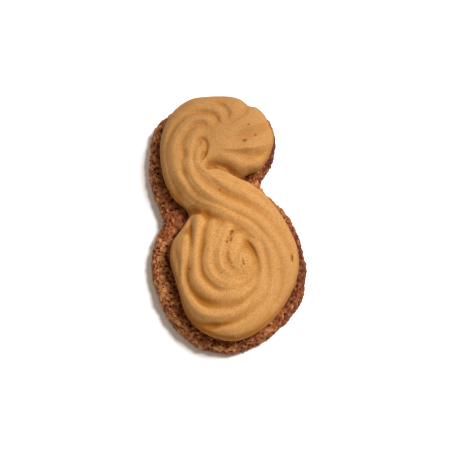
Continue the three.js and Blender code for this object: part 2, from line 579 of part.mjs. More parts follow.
function pipedSwirl() {
  const spokes = framework(swirlEdge, SWIRL_FAN, SWIRL_SIDE);
  const inward = inwardNormals(spokes.map((s) => s.edge));
  const rings = [];
  for (let s = UNDERCUT_STEPS; s > 0; s -= 1) {
    const a = (Math.PI / 2) * (s / UNDERCUT_STEPS);
    const inset = FOOT_UNDERCUT * (1 - Math.cos(a));
    rings.push(spokes.map(({ edge }, i) => {
      const [nx, ny] = inward[i];
      const level = rimLevel(edge[0], edge[1]);
      return [edge[0] + inset * nx, edge[1] + inset * ny, level - (level - SWIRL_FOOT) * Math.sin(a)];
    }));
  }
  let stride = 1;
  for (let r = 0; r < SWIRL_RINGS; r += 1) {
    if (HALVE_AT.includes(r)) stride *= 2;
    const share = (r / SWIRL_RINGS) ** RING_CROWDING;
    const kept = spokes.filter((_, i) => i % stride === 0);
    rings.push(kept.map(({ edge, spine }) => {
      const x = edge[0] + (spine[0] - edge[0]) * share;
      const y = edge[1] + (spine[1] - edge[1]) * share;
      return [x, y, r === 0 ? rimLevel(x, y) : swirlHeight(x, y)];
    }));
  }
  const seam = spokes.filter((_, i) => i % stride === 0)
    .map(({ spine }) => [spine[0], spine[1], swirlHeight(spine[0], spine[1])]);
  return solidFromRings(rings, seam, 'piped_swirl', '#c98f52', 0.75);
}

function biscuitBase() {
  const edge = evenly(curve(SLAB_EDGE, true, 8), SLAB_AROUND);
  const inward = inwardNormals(edge);
  const top = SLAB_HEIGHT;
  const rings = RIM_PROFILE.map(([inset, height], r) => edge.map(([x, y], i) => {
    const at = [x / CRUMB_SCALE, y / CRUMB_SCALE, height / CRUMB_SCALE];
    const out = CRUMB_OUT * lump(at[0], at[1], at[2]);
    const inner = r === RIM_PROFILE.length - 1;
    const shift = inset + (r === 0 ? 0.5 * Math.abs(out) : out) * (inner ? 0 : 1);
    const px = x + shift * inward[i][0];
    const py = y + shift * inward[i][1];
    const up = CRUMB_UP * lump(px / CRUMB_SCALE + 9.5, py / CRUMB_SCALE, 3.5);
    const raised = smooth(3.0, 5.5, height) * up;
    return [px, py, Math.min(top, height + (inner ? 0 : raised))];
  }));
  rings.push(edge.map(([x, y], i) => {
    const [nx, ny] = inward[i];
    return [x + SLAB_SHELF.inset * nx, y + SLAB_SHELF.inset * ny, SLAB_SHELF.height];
  }));
  return solidFromRings(rings, null, 'biscuit_base', '#6b3a22', 0.95);
}

const part = new THREE.Group();
part.name = 's_shaped_butter_cookie';
part.add(biscuitBase());
part.add(pipedSwirl());

export default part;
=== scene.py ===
# S-shaped piped biscuit: a ribbed rope of cream piped on a coarse cocoa biscuit slab.
import math

import bpy
import numpy as np
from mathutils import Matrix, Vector


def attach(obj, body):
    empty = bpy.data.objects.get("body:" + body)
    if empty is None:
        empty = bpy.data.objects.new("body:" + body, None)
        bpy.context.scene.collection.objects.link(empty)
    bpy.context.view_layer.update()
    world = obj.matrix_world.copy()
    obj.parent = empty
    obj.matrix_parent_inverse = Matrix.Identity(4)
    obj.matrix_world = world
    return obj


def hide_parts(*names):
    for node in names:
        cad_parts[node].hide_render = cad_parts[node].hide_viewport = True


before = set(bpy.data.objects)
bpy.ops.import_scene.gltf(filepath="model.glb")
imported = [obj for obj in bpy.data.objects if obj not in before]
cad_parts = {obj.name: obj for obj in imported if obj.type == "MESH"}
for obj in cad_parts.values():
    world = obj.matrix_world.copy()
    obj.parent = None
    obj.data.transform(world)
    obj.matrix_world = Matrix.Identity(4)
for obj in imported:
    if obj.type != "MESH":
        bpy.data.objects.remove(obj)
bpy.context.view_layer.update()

MM = 0.001


# ---- camera: a phone held above the biscuit's foot, looking down at it ----
VIEW_AZIMUTH = math.radians(-6.0)
VIEW_ELEVATION = math.radians(67.0)
VIEW_DISTANCE = 0.400
AIM = Vector((1.05, -2.40, 8.0)) * MM
SENSOR = 36.0
LENS = 105.13
IMAGE_SIDE = 452
FRAME_SHIFT = (-1.5, -1.0)        # image points that the picture is off the middle

away = Vector((
    math.sin(VIEW_AZIMUTH) * math.cos(VIEW_ELEVATION),
    -math.cos(VIEW_AZIMUTH) * math.cos(VIEW_ELEVATION),
    math.sin(VIEW_ELEVATION),
))
lens = bpy.data.cameras.new("camera")
lens.sensor_width = SENSOR
lens.lens = LENS
lens.shift_x = FRAME_SHIFT[0] / IMAGE_SIDE
lens.shift_y = FRAME_SHIFT[1] / IMAGE_SIDE
camera = bpy.data.objects.new("camera", lens)
camera.location = AIM + away * VIEW_DISTANCE
camera.rotation_euler = (-away).to_track_quat("-Z", "Y").to_euler()
bpy.context.scene.collection.objects.link(camera)
bpy.context.scene.camera = camera


# ---- piped cream: one rope from a star nozzle, whipped nut cream, smooth and matt ----
# It starts under its own diagonal, runs down the left of the lower lobe, round the
# bottom, up the right, over its own start, round the upper lobe, and ends in a fan.
CREAM_FOOT = 6.5                  # level of the biscuit it sits on, sizes in mm
CREAM_WIDEST = 10.2
SHOULDER_RISE = 6.4
CROWN_BULGE = 0.8
FOOT_UNDERCUT = 1.3
SHOULDER_WIDTH = 9.0
NOTCHES = ((7.0, 11.8, 9.0, 5.8), (-10.6, 1.2, 7.0, 3.5))   # x, y, reach, how much tighter
# Read off the photo as pixels, then worked out in mm outside this script with a guessed camera.
CREAM_EDGE = (
    (-1.5, -39.5), (3.8, -38.7), (9.4, -35.7), (14.3, -31.0), (18.3, -25.2), (20.6, -19.2),
    (20.9, -13.0), (19.3, -6.7), (16.7, -0.3), (13.2, 5.2), (9.2, 9.1), (6.3, 11.5),
    (8.8, 13.3), (12.9, 14.6), (16.2, 18.7), (18.0, 22.8), (18.2, 26.0), (17.2, 29.4),
    (16.4, 32.0), (14.3, 34.7), (12.0, 35.6), (9.6, 38.1), (5.6, 39.8), (0.0, 40.4),
    (-6.0, 40.1), (-11.3, 37.0), (-14.8, 32.3), (-16.8, 26.5), (-17.3, 20.0), (-16.6, 13.3),
    (-14.5, 7.6), (-11.3, 3.7), (-10.4, 0.9), (-12.6, -3.0), (-16.1, -7.4), (-17.3, -12.5),
    (-16.5, -18.0), (-15.5, -23.5), (-14.4, -29.3), (-11.6, -34.2), (-7.2, -37.6),
)
SPINE = ((3.5, -18.5), (0.0, 24.0))
LOWER_EYE = (3.7, -17.9)
UPPER_EYE = (-3.0, 20.0)
NONE = None
# Distance of each rib from the eye of its lobe at each bearing, outermost rib first.
RIB_SECTIONS = (
    (LOWER_EYE, 96, (NONE, NONE, NONE, NONE, NONE, NONE, NONE, 7.6)),
    (LOWER_EYE, 105, (NONE, NONE, NONE, NONE, NONE, NONE, 12.0, 6.0)),
    (LOWER_EYE, 118, (NONE, NONE, NONE, NONE, 21.4, 15.4, 9.6, 4.8)),
    (LOWER_EYE, 132, (NONE, NONE, NONE, NONE, 17.6, 12.2, 8.2, 4.0)),
    (LOWER_EYE, 150, (NONE, NONE, NONE, 19.0, 15.0, 10.5, 7.0, 3.3)),
    (LOWER_EYE, 172, (NONE, NONE, NONE, 17.8, 14.2, 10.1, 6.5, 2.9)),
    (LOWER_EYE, 195, (NONE, NONE, NONE, 19.0, 14.6, 9.7, 6.1, 2.7)),
    (LOWER_EYE, 225, (NONE, NONE, 23.4, 19.8, 13.3, 8.6, 5.3, 2.9)),
    (LOWER_EYE, 255, (NONE, NONE, 20.7, 16.3, 10.3, 7.0, 5.2, 3.2)),
    (LOWER_EYE, 285, (NONE, 18.3, 15.7, 11.7, 7.6, 5.1, 4.0, 2.9)),
    (LOWER_EYE, 315, (17.2, 15.7, 12.0, 8.0, 5.3, 3.7, 3.0, 2.3)),
    (LOWER_EYE, 345, (16.1, 14.0, 9.5, 6.5, 4.1, 3.0, NONE, NONE)),
    (LOWER_EYE, 15, (16.7, 12.7, 8.7, 6.1, 3.6, NONE, NONE, NONE)),
    (LOWER_EYE, 45, (18.4, 12.8, 9.3, 6.8, NONE, NONE, NONE, NONE)),
    (LOWER_EYE, 75, (21.0, 15.6, 11.9, 8.5, NONE, NONE, NONE, NONE)),
    (UPPER_EYE, 275, (10.1, 17.2, 21.2, NONE)),
    (UPPER_EYE, 250, (6.8, 11.9, 16.7, NONE)),
    (UPPER_EYE, 225, (4.4, 8.2, 13.5, NONE)),
    (UPPER_EYE, 200, (3.2, 6.2, 11.6, NONE)),
    (UPPER_EYE, 170, (2.6, 5.5, 11.0, NONE)),
    (UPPER_EYE, 140, (2.3, 5.8, 10.5, NONE)),
    (UPPER_EYE, 110, (NONE, 6.5, 11.1, NONE)),
    (UPPER_EYE, 80, (NONE, 6.4, 10.3, NONE)),
    (UPPER_EYE, 60, (NONE, NONE, 9.4, NONE)),
)
RIB_COUNT = 8
FIRST_TUCKED_RIB = 3              # ribs from here on start under the crossing rope
FIRST_INNER_RIB = 4               # ribs from here on die out near the lower eye
TOP_RIB = ((204, 15.0), (190, 14.8), (170, 14.4), (140, 14.5), (110, 15.2),
           (84, 15.4), (62, 13.9), (50, 12.4))
RIB_DEPTH = 1.5
RIB_RADIUS = (0.7, 1.7, 3.0, 11.0)     # at the lower eye, far from it, and where it changes
RIB_STRENGTH = (0.34, 0.80, 5.0, 14.0)
BROAD_RIB = (-13.5, -19.0, 5.0, 14.0, 1.1)      # where one rib is broader: middle, half sizes, added radius
RIB_END = 5.0
INNER_RIB_END = 12.0
RIB_BLEND = 0.16
LAP_LINE = (
    (-14.5, 4.4), (-11.0, 2.4), (-9.2, 1.4), (-7.2, 0.4), (-5.3, -1.0), (-3.2, -2.7),
    (-0.9, -4.4), (1.5, -5.6), (3.4, -7.4), (4.9, -9.6), (5.9, -11.8), (7.0, -14.2),
    (8.1, -17.2), (8.6, -20.2),
)
LAP_DROP = ((0, 6, 9, 12, 16, 20, 24, 28, 31, 34, 37),
            (4.6, 4.2, 2.7, 1.2, 0.55, 0.4, 0.4, 0.6, 0.5, 0.3, 0.0))
LAP_WIDTH = (3.9, 1.4, 2.6)            # on the rope and on its start by the notch, and both beyond
LAP_FADE = (7.0, 15.0)                 # where the wide flank ends
LAP_LINE_DEPTH = 0.3
LAP_LINE_WIDTH = 0.7
FOLD_LINE = ((8.0, 10.9), (6.7, 11.2), (4.6, 12.1), (2.4, 13.4), (0.4, 14.3), (-1.3, 14.7), (-3.1, 14.2))
FOLD_DEPTH = ((0, 2, 5, 8, 10.2, 11.5, 12.4), (6.0, 5.4, 4.4, 3.6, 3.2, 2.8, 0.6))
FOLD_WIDTH = (1.9, 1.10)               # on the free end's side and on the rope's side
LIP = ((2.6, 13.0), (1.3, 13.7), (0.0, 14.2), (-1.1, 14.4))      # a turned-up edge in the fold
LIP_HEIGHT = 1.9
LIP_WIDTH = 0.65
MOUTHS = ((6.6, 11.5, 2.4, 3.0), (-10.6, 1.1, 2.0, 2.2))   # where fold and lap run out: x, y, reach, dip
# Where the ribs are wiped out or pressed deeper: middle, half sizes, change of their depth.
RIB_PATCHES = (
    (4.5, 22.5, 6.0, 5.5, -1.0), (-2.6, -9.2, 3.6, 4.8, -1.0), (-9.0, -20.0, 9.0, 17.0, 0.45),
    (-1.0, -33.0, 13.0, 7.0, 0.3), (-14.5, 19.0, 4.0, 12.0, -0.45),
)
FREE_END = (3.0, 9.0, 14.0, 17.0)
# Grooves, and below 0 raised lines: points, depth, width to the left and to the right, run-in and run-out.
GROOVES = (
    (((12.6, 36.6), (11.2, 33.8), (10.2, 31.4), (8.4, 29.6), (5.4, 27.8), (2.6, 25.6)),
     0.12, 1.1, 1.9, 1.5, 8.0),
    (((12.2, 35.4), (11.6, 32.8), (10.9, 30.8), (9.2, 28.9), (6.6, 27.6), (3.6, 25.9)),
     -0.22, 0.6, 0.5, 1.5, 5.0),
    (((19.2, 28.2), (15.6, 26.6), (12.7, 24.8), (9.5, 23.4), (6.4, 22.4), (3.0, 21.0)),
     1.15, 1.8, 1.4, 0.5, 8.0),
    (((18.2, 29.4), (15.6, 28.4), (12.8, 26.9), (9.6, 25.4), (7.2, 24.4)), -0.30, 0.5, 0.5, 1.0, 3.0),
    (((19.4, 20.6), (16.6, 19.3), (13.6, 18.0), (10.6, 17.4), (7.6, 17.5), (4.4, 18.1), (1.0, 18.9)),
     1.75, 2.6, 1.2, 0.5, 9.0),
    (((18.0, 22.2), (14.6, 20.1), (11.0, 18.9), (7.4, 18.7), (3.8, 18.9), (1.2, 19.4)),
     -0.42, 0.45, 0.5, 1.0, 4.0),
    (((-0.6, 36.9), (1.8, 36.0), (3.2, 34.7), (4.2, 33.1), (4.7, 31.6), (4.6, 30.2)),
     0.85, 0.9, 1.6, 4.5, 1.5),
    (((-8.6, 32.6), (-5.6, 32.8), (-3.2, 32.6), (-1.3, 31.9), (0.1, 30.9), (1.2, 29.8), (1.7, 28.9)),
     0.85, 0.9, 1.6, 7.0, 1.2),
    (((-8.9, 25.2), (-7.6, 27.3), (-5.9, 28.2), (-3.7, 28.4), (-1.5, 27.8)), 0.50, 0.8, 1.4, 5.0, 1.5),
    (((-5.5, 21.6), (-4.8, 22.8), (-4.0, 23.4), (-3.2, 22.7), (-2.9, 21.2), (-3.3, 19.4), (-4.3, 17.6),
      (-5.6, 15.5), (-6.7, 13.4)), 0.72, 0.6, 1.0, 1.2, 3.0),
    (((-3.4, 19.4), (-4.2, 17.9), (-5.1, 16.2)), 0.65, 0.9, 0.8, 1.2, 1.2),
    (((-2.6, 14.6), (-3.2, 13.7), (-4.1, 13.1), (-5.3, 12.3), (-6.5, 11.2)), 0.35, 0.3, 0.3, 0.5, 2.0),
    (((-15.0, -10.6), (-15.2, -12.6), (-15.0, -14.8), (-15.1, -18.3), (-15.6, -22.0)),
     0.60, 0.6, 0.8, 1.5, 2.5),
    (((-8.0, 32.4), (-11.0, 30.6), (-13.3, 27.2), (-14.6, 23.0), (-15.0, 19.0), (-14.6, 14.5), (-13.6, 10.5),
      (-12.8, 9.2)), 0.30, 1.3, 1.1, 8.0, 7.0),
    (((-16.6, 14.5), (-15.2, 11.0), (-13.6, 7.6), (-12.0, 5.0)), 1.80, 1.9, 3.0, 5.0, 3.5),
    (((-4.4, 12.4), (-3.1, 10.2), (-1.4, 8.0), (1.1, 5.7), (4.5, 3.5)), 0.24, 0.6, 1.2, 1.0, 6.0),
    (((17.6, 20.4), (15.0, 17.0), (12.3, 15.2), (9.0, 14.2)), 0.90, 1.2, 2.8, 2.0, 2.0),
    (((8.7, -8.6), (10.2, -12.6), (10.7, -17.2), (10.4, -21.6), (9.1, -26.0)), 0.24, 0.9, 0.8, 4.0, 5.0),
    (((0.5, -40.2), (5.0, -39.3), (9.8, -36.6), (14.4, -32.0), (17.8, -26.6)), 1.10, 2.4, 1.0, 3.0, 4.0),
    (((-16.0, -26.0), (-15.1, -29.0), (-13.5, -31.8), (-11.2, -34.2), (-8.0, -35.8), (-4.6, -35.9)),
     2.70, 1.3, 1.5, 1.0, 4.0),
    (((-9.0, -35.6), (-5.6, -35.8), (-2.4, -35.3), (0.6, -34.3), (3.3, -32.8), (5.4, -30.9), (7.4, -28.6),
      (9.2, -26.4)), 0.80, 1.3, 1.2, 4.0, 9.0),
    (((-10.2, -0.6), (-10.3, -4.0), (-10.4, -8.0), (-10.9, -11.5), (-11.7, -14.5)), 0.60, 0.8, 0.8, 1.0, 5.0),
    (((-11.3, -12.5), (-12.2, -16.0), (-12.9, -19.2), (-13.0, -22.0), (-12.1, -25.0), (-9.9, -27.6),
      (-7.0, -28.9), (-3.6, -29.3), (-0.2, -28.8), (3.4, -27.4)), 0.72, 1.8, 1.1, 6.0, 14.0),
    (((-6.8, -3.4), (-7.2, -7.0), (-8.2, -10.4), (-9.0, -13.6), (-9.3, -16.8), (-9.0, -20.0), (-7.7, -22.7),
      (-5.4, -24.8), (-2.8, -25.8)), 0.12, 2.4, 0.8, 3.0, 7.0),
    (((5.0, -10.4), (6.3, -12.4), (7.3, -14.3), (7.9, -16.5), (8.3, -19.3), (8.1, -22.0), (7.1, -25.0)),
     0.58, 0.50, 1.2, 3.0, 12.0),
    (((-0.9, -9.4), (-0.8, -13.0), (-0.4, -17.0), (0.4, -19.8), (2.2, -21.5)), 0.08, 0.6, 0.5, 1.5, 2.0),
)
# Burst bubbles and dents: x, y, half width, half length, turn of the length, depth.
PITS = (
    (8.5, 21.5, 0.68, 0.50, 10, 0.95), (12.0, 23.3, 0.55, 0.35, 25, 0.60), (10.4, 26.6, 0.32, 0.28, 0, 0.70),
    (11.1, 13.5, 0.45, 0.40, 0, 0.85), (-0.5, 6.0, 0.25, 0.25, 0, 0.50), (13.9, -21.2, 0.22, 0.22, 0, 0.35),
    (-9.9, 18.8, 0.95, 1.70, 0, 0.52), (-10.8, 12.9, 1.10, 1.80, 20, 0.28), (3.8, -18.1, 0.40, 0.70, 0, 0.60),
    (5.0, -17.0, 0.30, 0.40, 0, 0.25), (18.5, -17.5, 0.34, 1.10, -4, 0.75),
    (-11.9, -18.2, 0.26, 0.24, 0, 0.40),
    (13.2, 0.8, 0.22, 0.22, 0, 0.40), (-9.3, 30.1, 0.26, 0.22, 0, 0.30), (-5.0, 34.0, 0.22, 0.20, 0, 0.30),
    (1.4, -14.3, 0.50, 0.28, 0, 0.25), (3.2, -19.6, 0.25, 0.25, 0, 0.30), (2.6, -16.4, 0.22, 0.30, 0, 0.25),
)
TEARS = (((1.9, -7.8), (1.3, -8.7), (0.8, -9.7)), ((0.5, -9.7), (0.1, -10.6), (-0.4, -11.8)),
         ((1.3, -10.1), (1.0, -10.7), (0.7, -11.2)))
TEAR_DEPTH = 0.95
TEAR_WIDTH = 0.32
PORE_PATCHES = ((1.2, -15.5, 2.8, 5.5), (4.0, -18.0, 2.5, 3.0))   # where air bubbles broke open
PORE_SPACING = 0.9
PORE_RADIUS = (0.16, 0.42)
PORE_DEPTH = 0.42
EYE_MOUND = (0.35, 2.2)
UNEVEN = ((4.5, 0.16), (1.6, 0.045), (0.7, 0.018))   # spacing and height of the hand's unevenness
DRAG_SPACING = 0.85               # fine lines that the nozzle's teeth drew round the eye
DRAG_HEIGHT = 0.11
STREAK_SPACING = 0.75             # and along the ribs
STREAK_LENGTH = 14.0
STREAK_HEIGHT = 0.10
FAN_POINTS = 176
SIDE_POINTS = 216
CREAM_RINGS = 100
RING_CROWDING = 1.25
UNDERCUT_RINGS = 8
# The hollow measure below sets painted shade in the cream's colour
HOLLOW_BLUR = 200                 # passes; the neighbourhood is about 2 mm wide
HOLLOW_RANGE = 1.8                # mm from the highest crest to the deepest hollow


def smooth(start, end, value):
    """Eases from 0 at start to 1 at end: 3 t squared less 2 t cubed."""
    t = np.clip((value - start) / (end - start), 0, 1)
    return t * t * (3 - 2 * t)


def curve(points, closed, steps):
    """Uniform Catmull-Rom curve through the points, with so many chords to each span."""
    p = np.asarray(points, float)
    if closed:
        p = np.vstack([p[-1], p, p[0], p[1]])
    else:
        p = np.vstack([2 * p[0] - p[1], p, 2 * p[-1] - p[-2]])
    t = np.linspace(0, 1, steps, endpoint=False)[:, None]
    a, b, c, d = (p[i:len(p) - 3 + i, None] for i in range(4))
    spans = 0.5 * (2 * b + (c - a) * t + (2 * a - 5 * b + 4 * c - d) * t ** 2
                       + (3 * b - a - 3 * c + d) * t ** 3)
    path = spans.reshape(-1, 2)
    return path if closed else np.vstack([path, p[-2]])


class Line:
    """Chords of a path, with the arc length at which each of them starts."""

    def __init__(self, path, closed=False):
        ends = np.vstack([path, path[:1]]) if closed else path
        self.a = ends[:-1]
        self.u = np.diff(ends, axis=0)
        self.chord = np.maximum(np.hypot(self.u[:, 0], self.u[:, 1]), 1e-9)
        self.start = np.concatenate([[0], np.cumsum(self.chord)])[:-1]
        self.length = self.chord.sum()

    def measure(self, x, y):
        """For each point and each chord: squared distance, arc length and side (above 0 to the left)."""
        px = x[..., None] - self.a[:, 0]
        py = y[..., None] - self.a[:, 1]
        t = np.clip((px * self.u[:, 0] + py * self.u[:, 1]) / self.chord ** 2, 0, 1)
        d2 = (px - t * self.u[:, 0]) ** 2 + (py - t * self.u[:, 1]) ** 2
        return d2, self.start + t * self.chord, self.u[:, 0] * py - self.u[:, 1] * px

    def nearest(self, x, y):
        """Distance, arc length and side of the nearest chord."""
        d2, arc, side = self.measure(x, y)
        best = np.argmin(d2, axis=-1)[..., None]
        pick = lambda v: np.take_along_axis(v, best, axis=-1)[..., 0]
        return np.sqrt(pick(d2)), pick(arc), pick(side)

    def at(self, arc):
        """The points at these arc lengths."""
        i = np.clip(np.searchsorted(self.start, arc, side="right") - 1, 0, len(self.a) - 1)
        t = (arc - self.start[i]) / self.chord[i]
        return self.a[i] + t[:, None] * self.u[i]


def noise(x, y, z, seed):
    """Smooth lumps between -1 and 1: random values on a cubic lattice, eased between its corners."""
    cell = [np.floor(v).astype(np.int64) for v in (x, y, z)]
    u, v, w = (smooth(0, 1, p - c) for p, c in zip((x, y, z), cell))

    def corner(i, j, k):
        h = ((cell[0] + i) * 374761393 + (cell[1] + j) * 668265263 + (cell[2] + k) * 2246822519
             + seed * 3266489917)
        h = (h ^ (h >> 13)) * 1274126177 & 0xFFFFFFFF
        return ((h ^ (h >> 16)) & 0xFFFF) / 32767.5 - 1

    rows = [corner(0, j, k) * (1 - u) + corner(1, j, k) * u for k in (0, 1) for j in (0, 1)]
    low = rows[0] * (1 - v) + rows[1] * v
    high = rows[2] * (1 - v) + rows[3] * v
    return low * (1 - w) + high * w


def holes(points, spacing, radius, seed):
    """How deep a point lies in an open hole, 0 to 1: round holes jittered on a cubic lattice."""
    cell = np.floor(points / spacing).astype(np.int64)
    deepest = np.zeros(len(points))
    for step in np.ndindex(3, 3, 3):
        at = cell + np.array(step) - 1
        h = at @ np.array([374761393, 668265263, 2246822519]) + seed * 3266489917
        parts = []
        for turn in range(4):
            h = (h ^ (h >> 13)) * 1274126177 & 0xFFFFFFFF
            parts.append(((h ^ (h >> 16)) & 0xFFFF) / 65535)
        middle = (at + np.stack(parts[:3], axis=1)) * spacing
        size = radius[0] + (radius[1] - radius[0]) * parts[3] ** 2
        d = np.linalg.norm(points - middle, axis=1) / size
        deepest = np.maximum(deepest, smooth(1.15, 0.35, d))
    return deepest


def from_eye(eye, bearing, radius):
    a = math.radians(bearing)
    return eye[0] + radius * math.cos(a), eye[1] + radius * math.sin(a)


def rib_lines():
    """One line along the crest of each rib, with its run-in and run-out."""
    ribs = []
    for k in range(RIB_COUNT):
        run = [from_eye(eye, b, at[k]) for eye, b, at in RIB_SECTIONS if k < len(at) and at[k] is not NONE]
        run_in = 0 if k >= FIRST_TUCKED_RIB else RIB_END
        run_out = INNER_RIB_END if k >= FIRST_INNER_RIB else RIB_END
        ribs.append((Line(curve(run, False, 5)), run_in, run_out))
    top = [from_eye(UPPER_EYE, b, r) for b, r in TOP_RIB]
    return ribs + [(Line(curve(top, False, 5)), RIB_END, RIB_END)]


cream_path = curve(CREAM_EDGE, True, 8)
cream_edge = Line(cream_path, closed=True)
lap_line = Line(curve(LAP_LINE, False, 4))
fold_line = Line(curve(FOLD_LINE, False, 4))
lip_line = Line(curve(LIP, False, 4))
groove_lines = [(Line(curve(g[0], False, 5)), *g[1:]) for g in GROOVES]
tear_lines = [Line(curve(t, False, 5)) for t in TEARS]
ribs = rib_lines()


def eased_ends(line, arc, run_in, run_out):
    """Strength along a line: up from 0 over its run-in and down to 0 over its run-out."""
    started = smooth(0, run_in, arc) if run_in > 0 else 1.0
    return started * smooth(0, run_out, line.length - arc)


def rib_relief(x, y, radius):
    """Drop beside the ribs: each is a rounded ridge of that crest radius, and the highest shows."""
    drops, streaks = [], []
    for k, (line, run_in, run_out) in enumerate(ribs):
        d2, arc, _ = line.measure(x, y)
        side = RIB_DEPTH * (1 - np.exp(-d2 / (2 * radius[..., None] * RIB_DEPTH)))
        drops.append((-side - (1 - eased_ends(line, arc, run_in, run_out)) * RIB_DEPTH).max(-1))
        away_from, along, turn = line.nearest(x, y)
        streaks.append(noise(away_from * np.sign(turn) / STREAK_SPACING, along / STREAK_LENGTH,
                             0 * x + k, 29))
    drops = np.maximum(np.stack(drops), -2 * RIB_DEPTH)
    top = drops.max(0)
    share = np.exp((drops - top) / RIB_BLEND)
    streak = (share * np.stack(streaks)).sum(0) / share.sum(0)
    relief = np.maximum(-RIB_DEPTH, top + RIB_BLEND * np.log(share.sum(0)))
    return relief, STREAK_HEIGHT * streak * smooth(-RIB_DEPTH, -0.6 * RIB_DEPTH, top)


def groove(line, x, y, left, right, run_in, run_out):
    """Share of a groove's depth: a bell across the line, eased at its ends."""
    d2, arc, side = line.measure(x, y)
    width = np.where(side > 0, left, right)
    return (eased_ends(line, arc, run_in, run_out) * np.exp(-d2 / width ** 2)).max(-1)


def lap_drop(x, y):
    """Step where the rope lies over its start: a broad bell and a crisp line, both fading right."""
    away_from, arc, side = lap_line.nearest(x, y)
    flank = 1 - smooth(LAP_FADE[0], LAP_FADE[1], arc)
    width = LAP_WIDTH[2] + flank * (np.where(side > 0, LAP_WIDTH[0], LAP_WIDTH[1]) - LAP_WIDTH[2])
    broad = np.interp(arc, *LAP_DROP) * np.exp(-(away_from / width) ** 2)
    crisp = LAP_LINE_DEPTH * flank * np.exp(-away_from / LAP_LINE_WIDTH)
    return broad + crisp


def fold_drop(x, y):
    """Deep valley under the free end, steeper on the rope's side."""
    away_from, arc, side = fold_line.nearest(x, y)
    width = np.where(side < 0, FOLD_WIDTH[0], FOLD_WIDTH[1])
    steepness = np.where(side < 0, 2, 4)
    valley = np.interp(arc, *FOLD_DEPTH) * np.exp(-(away_from / width) ** steepness)
    return valley - LIP_HEIGHT * groove(lip_line, x, y, LIP_WIDTH, LIP_WIDTH, 1.2, 1.0)


def rim_level(x, y):
    """Level of the cream's widest line: it dips where the fold and the lap run out."""
    level = np.full_like(x, CREAM_WIDEST)
    for mx, my, reach, dip in MOUTHS:
        level -= dip * np.exp(-((x - mx) ** 2 + (y - my) ** 2) / reach ** 2)
    return level


def cream_height(x, y):
    """Level of the cream over the plan: shoulder, crown, lap, fold, ribs, grooves, pits and grain."""
    inside = cream_edge.nearest(x, y)[0]
    shoulder = np.full_like(x, SHOULDER_WIDTH)
    for nx, ny, reach, tighter in NOTCHES:
        shoulder -= tighter * np.exp(-((x - nx) ** 2 + (y - ny) ** 2) / reach ** 2)
    across = 1 - np.clip(inside / shoulder, 0, 1)
    rise = SHOULDER_RISE + CROWN_BULGE * smooth(4, 18, inside) - lap_drop(x, y) - fold_drop(x, y)
    level = rim_level(x, y)
    z = level + np.maximum(rise + CREAM_WIDEST - level, 0.3) * np.sqrt(np.clip(1 - across ** 2, 0, 1))

    from_lower = np.hypot(x - LOWER_EYE[0], y - LOWER_EYE[1])
    free_end = smooth(FREE_END[0], FREE_END[1], x) * smooth(FREE_END[2], FREE_END[3], y)
    ribbed = (1 - free_end) * (0.25 + 0.75 * smooth(0, 2.5, inside))
    for px, py, rx, ry, change in RIB_PATCHES:
        ribbed *= 1 + change * np.exp(-(((x - px) / rx) ** 2 + ((y - py) / ry) ** 2) ** 2)
    near, far, start, end = RIB_STRENGTH
    strength = near + (far - near) * smooth(start, end, from_lower)
    near, far, start, end = RIB_RADIUS
    radius = near + (far - near) * smooth(start, end, from_lower)
    px, py, rx, ry, more = BROAD_RIB
    radius += more * np.exp(-(((x - px) / rx) ** 2 + ((y - py) / ry) ** 2) ** 2)
    relief, streak = rib_relief(x, y, radius)
    z += relief * ribbed * strength + streak * (1 - free_end) * smooth(0, 2, inside)

    for line, depth, left, right, run_in, run_out in groove_lines:
        z -= depth * groove(line, x, y, left, right, run_in, run_out) * (0.3 + 0.7 * smooth(0, 3, inside))
    for cx, cy, half_width, half_length, turn, depth in PITS:
        a = math.radians(turn)
        u = ((x - cx) * math.cos(a) + (y - cy) * math.sin(a)) / half_width
        v = ((y - cy) * math.cos(a) - (x - cx) * math.sin(a)) / half_length
        z -= depth * np.exp(-(u ** 2 + v ** 2) ** 1.4)
    ragged = 1 + 0.6 * noise(x / 0.7, y / 0.7, x * 0, 5)
    for line in tear_lines:
        z -= TEAR_DEPTH * ragged * groove(line, x, y, TEAR_WIDTH, TEAR_WIDTH, 0.4, 0.4)
    z += EYE_MOUND[0] * np.exp(-(from_lower / EYE_MOUND[1]) ** 2)
    porous = sum(np.exp(-((x - px) / rx) ** 2 - ((y - py) / ry) ** 2) for px, py, rx, ry in PORE_PATCHES)
    flat = np.stack([x, y, x * 0], axis=-1)
    z -= PORE_DEPTH * np.clip(porous, 0.0, 1) * holes(flat, PORE_SPACING, PORE_RADIUS, 3)

    well_in = smooth(0, 1.5, inside)
    for i, (spacing, size) in enumerate(UNEVEN):
        z += size * well_in * noise(x / spacing, y / spacing, x * 0, 11 + i)
    bearing = np.arctan2(y - LOWER_EYE[1], x - LOWER_EYE[0])
    turns = from_lower / DRAG_SPACING + 1.3 * bearing
    drawn = smooth(2.5, 4.5, from_lower) * (1 - smooth(8, 13, from_lower)) * smooth(-3.0, -1.0, -y - 5)
    z += DRAG_HEIGHT * drawn * noise(turns, 1.5 * np.cos(bearing), 1.5 * np.sin(bearing), 23)
    return np.maximum(z, level + 0.05 * smooth(0, 0.5, inside))


